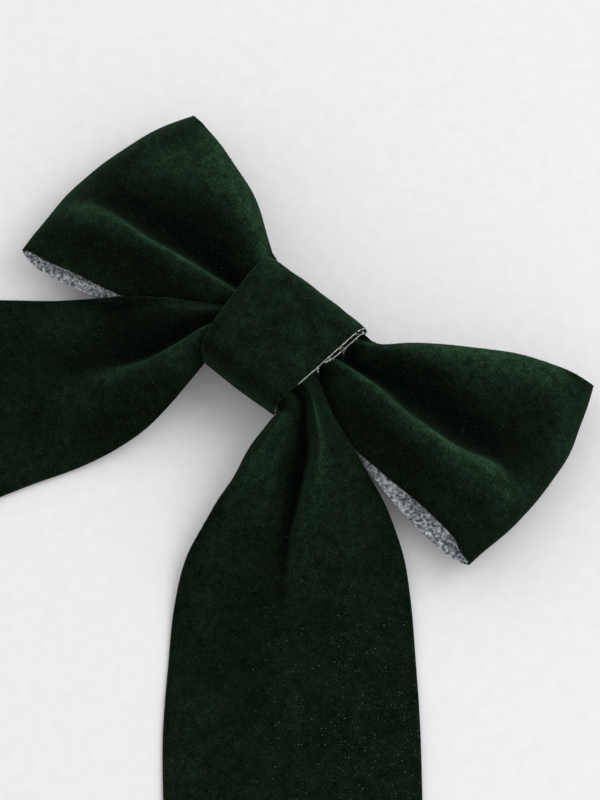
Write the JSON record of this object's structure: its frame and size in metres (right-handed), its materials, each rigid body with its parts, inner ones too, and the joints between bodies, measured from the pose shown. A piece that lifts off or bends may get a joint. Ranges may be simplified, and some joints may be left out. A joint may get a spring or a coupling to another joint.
{
  "type": "hair bow",
  "caption": "Gathered velvet ribbon hair bow with puffed side loops, a wrapped knot and long slanted tails, on a hinged spring barrette with a pinch catch.",
  "frame": {"origin": "centre of the barrette's hair gap, between the clasp arm and the tension leaf, under the middle of the knot", "axes": "+Z out of the bow's front face, up as it lies on its back; +X along the loops towards the longer right-hand loop; -Y towards the tails"},
  "size_m": [0.3286, 0.2082, 0.0266],
  "materials": {
    "velvet": "dark green velvet, short dense pile, matt with a soft sheen at grazing angles",
    "interfacing": "thin grey speckled non-woven backing fused to the velvet",
    "thread": "dark green sewing thread",
    "plated_steel": "nickel-plated stamped steel strip with fine brushing",
    "spring_steel": "bare spring steel, slightly darker, satin",
    "brass_rivet": "dull brass rivet"
  },
  "bodies": {
    "bow": {"barrette_base": "plated_steel", "hinge_pin": "plated_steel", "tension_leaf": "spring_steel", "catch_plate": "plated_steel", "catch_rivet": "brass_rivet", "knot_wrap_velvet": "velvet", "knot_wrap_interfacing": "interfacing", "gathering_thread": "thread", "loop_seam_stitches": "thread", "tail_tack_stitches": "thread", "wrap_closing_stitches": "thread", "loop_velvet": "velvet", "loop_interfacing": "interfacing", "left_tail_velvet": "velvet", "left_tail_interfacing": "interfacing", "right_tail_velvet": "velvet", "right_tail_interfacing": "interfacing"},
    "clasp": {"clasp_arm": "plated_steel"},
    "prong_front": {"catch_prong_front": "plated_steel"},
    "prong_back": {"catch_prong_back": "plated_steel"}
  },
  "joints": [
    {"name": "clasp_swing", "type": "hinge", "parent": "bow", "child": "clasp", "pos_m": [-0.0385, 0, -0.0046], "axis": [0, 1, 0], "range_deg": [0, 75]},
    {"name": "prong_front_flex", "type": "hinge", "parent": "bow", "child": "prong_front", "pos_m": [0.0364, -0.0015, -0.00031], "axis": [1, 0, 0], "range_deg": [0, 8], "stiffness_Nm_per_rad": 0.004},
    {"name": "prong_back_flex", "type": "hinge", "parent": "bow", "child": "prong_back", "pos_m": [0.0364, 0.0015, -0.00031], "axis": [-1, 0, 0], "range_deg": [0, 8], "stiffness_Nm_per_rad": 0.004}
  ],
  "couplings": [
    {"joint": "prong_back_flex", "follows": "prong_front_flex", "ratio": 1}
  ]
}
